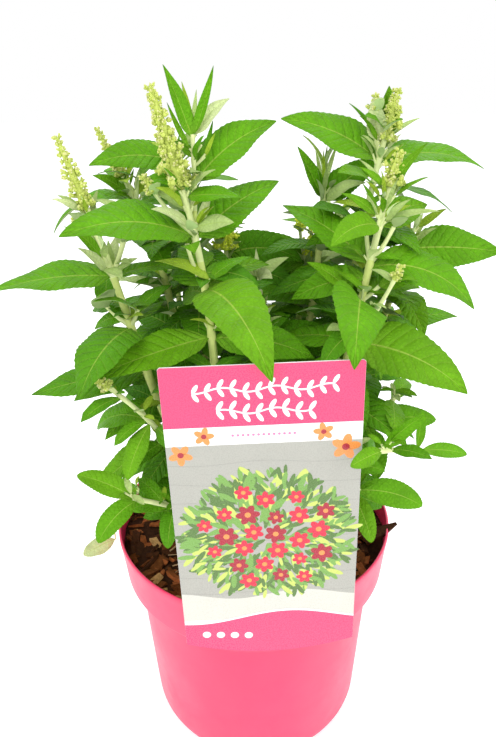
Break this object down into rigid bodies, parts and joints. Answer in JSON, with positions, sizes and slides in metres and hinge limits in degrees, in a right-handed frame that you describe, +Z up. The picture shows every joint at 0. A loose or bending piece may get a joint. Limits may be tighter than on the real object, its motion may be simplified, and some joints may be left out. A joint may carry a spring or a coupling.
{
  "type": "potted butterfly bush with a picture label",
  "caption": "Young leafy shrub with upright flower spikes in bud, in a round pink nursery pot of compost with a tall picture card on a stake before it.",
  "frame": {"origin": "middle of the pot's underside", "axes": "+Z up the plant, -Y to the front, where the picture card hangs, +X to the right as seen from the front"},
  "size_m": [0.2912, 0.2313, 0.442],
  "materials": {
    "pink_pot": "satin pink moulded plastic",
    "bark_compost": "dark moist compost with bark chips",
    "label_print": "glossy printed plastic card",
    "bark": "thin brown bark",
    "shoot_skin": "pale green felted young shoots",
    "leaf_green": "soft mid green leaves"
  },
  "bodies": {
    "root": {"pot": "pink_pot", "compost": "bark_compost", "label_card": "label_print", "main_stem": "bark", "bough_front_left": "shoot_skin", "bough_middle_left": "shoot_skin", "bough_far_left": "shoot_skin", "bough_back_middle": "shoot_skin", "bough_heart": "shoot_skin", "bough_back_right": "shoot_skin", "bough_front_right": "shoot_skin", "bough_tall_right": "shoot_skin", "bough_inner_right": "shoot_skin", "bough_far_right": "shoot_skin", "bough_back_left": "shoot_skin", "bough_rear_left": "shoot_skin", "bough_rear_middle": "shoot_skin", "bough_rear_right": "shoot_skin", "foliage_front_left": "leaf_green", "foliage_middle_left": "leaf_green", "foliage_far_left": "leaf_green", "foliage_back_middle": "leaf_green", "foliage_heart": "leaf_green", "foliage_back_right": "leaf_green", "foliage_front_right": "leaf_green", "foliage_tall_right": "leaf_green", "foliage_inner_right": "leaf_green", "foliage_far_right": "leaf_green", "foliage_back_left": "leaf_green", "foliage_rear_left": "leaf_green", "foliage_rear_middle": "leaf_green", "foliage_rear_right": "leaf_green", "foliage_left_bud": "leaf_green", "foliage_low_left": "leaf_green", "foliage_low_right": "leaf_green", "foliage_rim_right": "leaf_green", "foliage_side_right": "leaf_green", "foliage_rim_left": "leaf_green", "foliage_rear_low_left": "leaf_green", "foliage_rear_low_right": "leaf_green"}
  },
  "joints": []
}
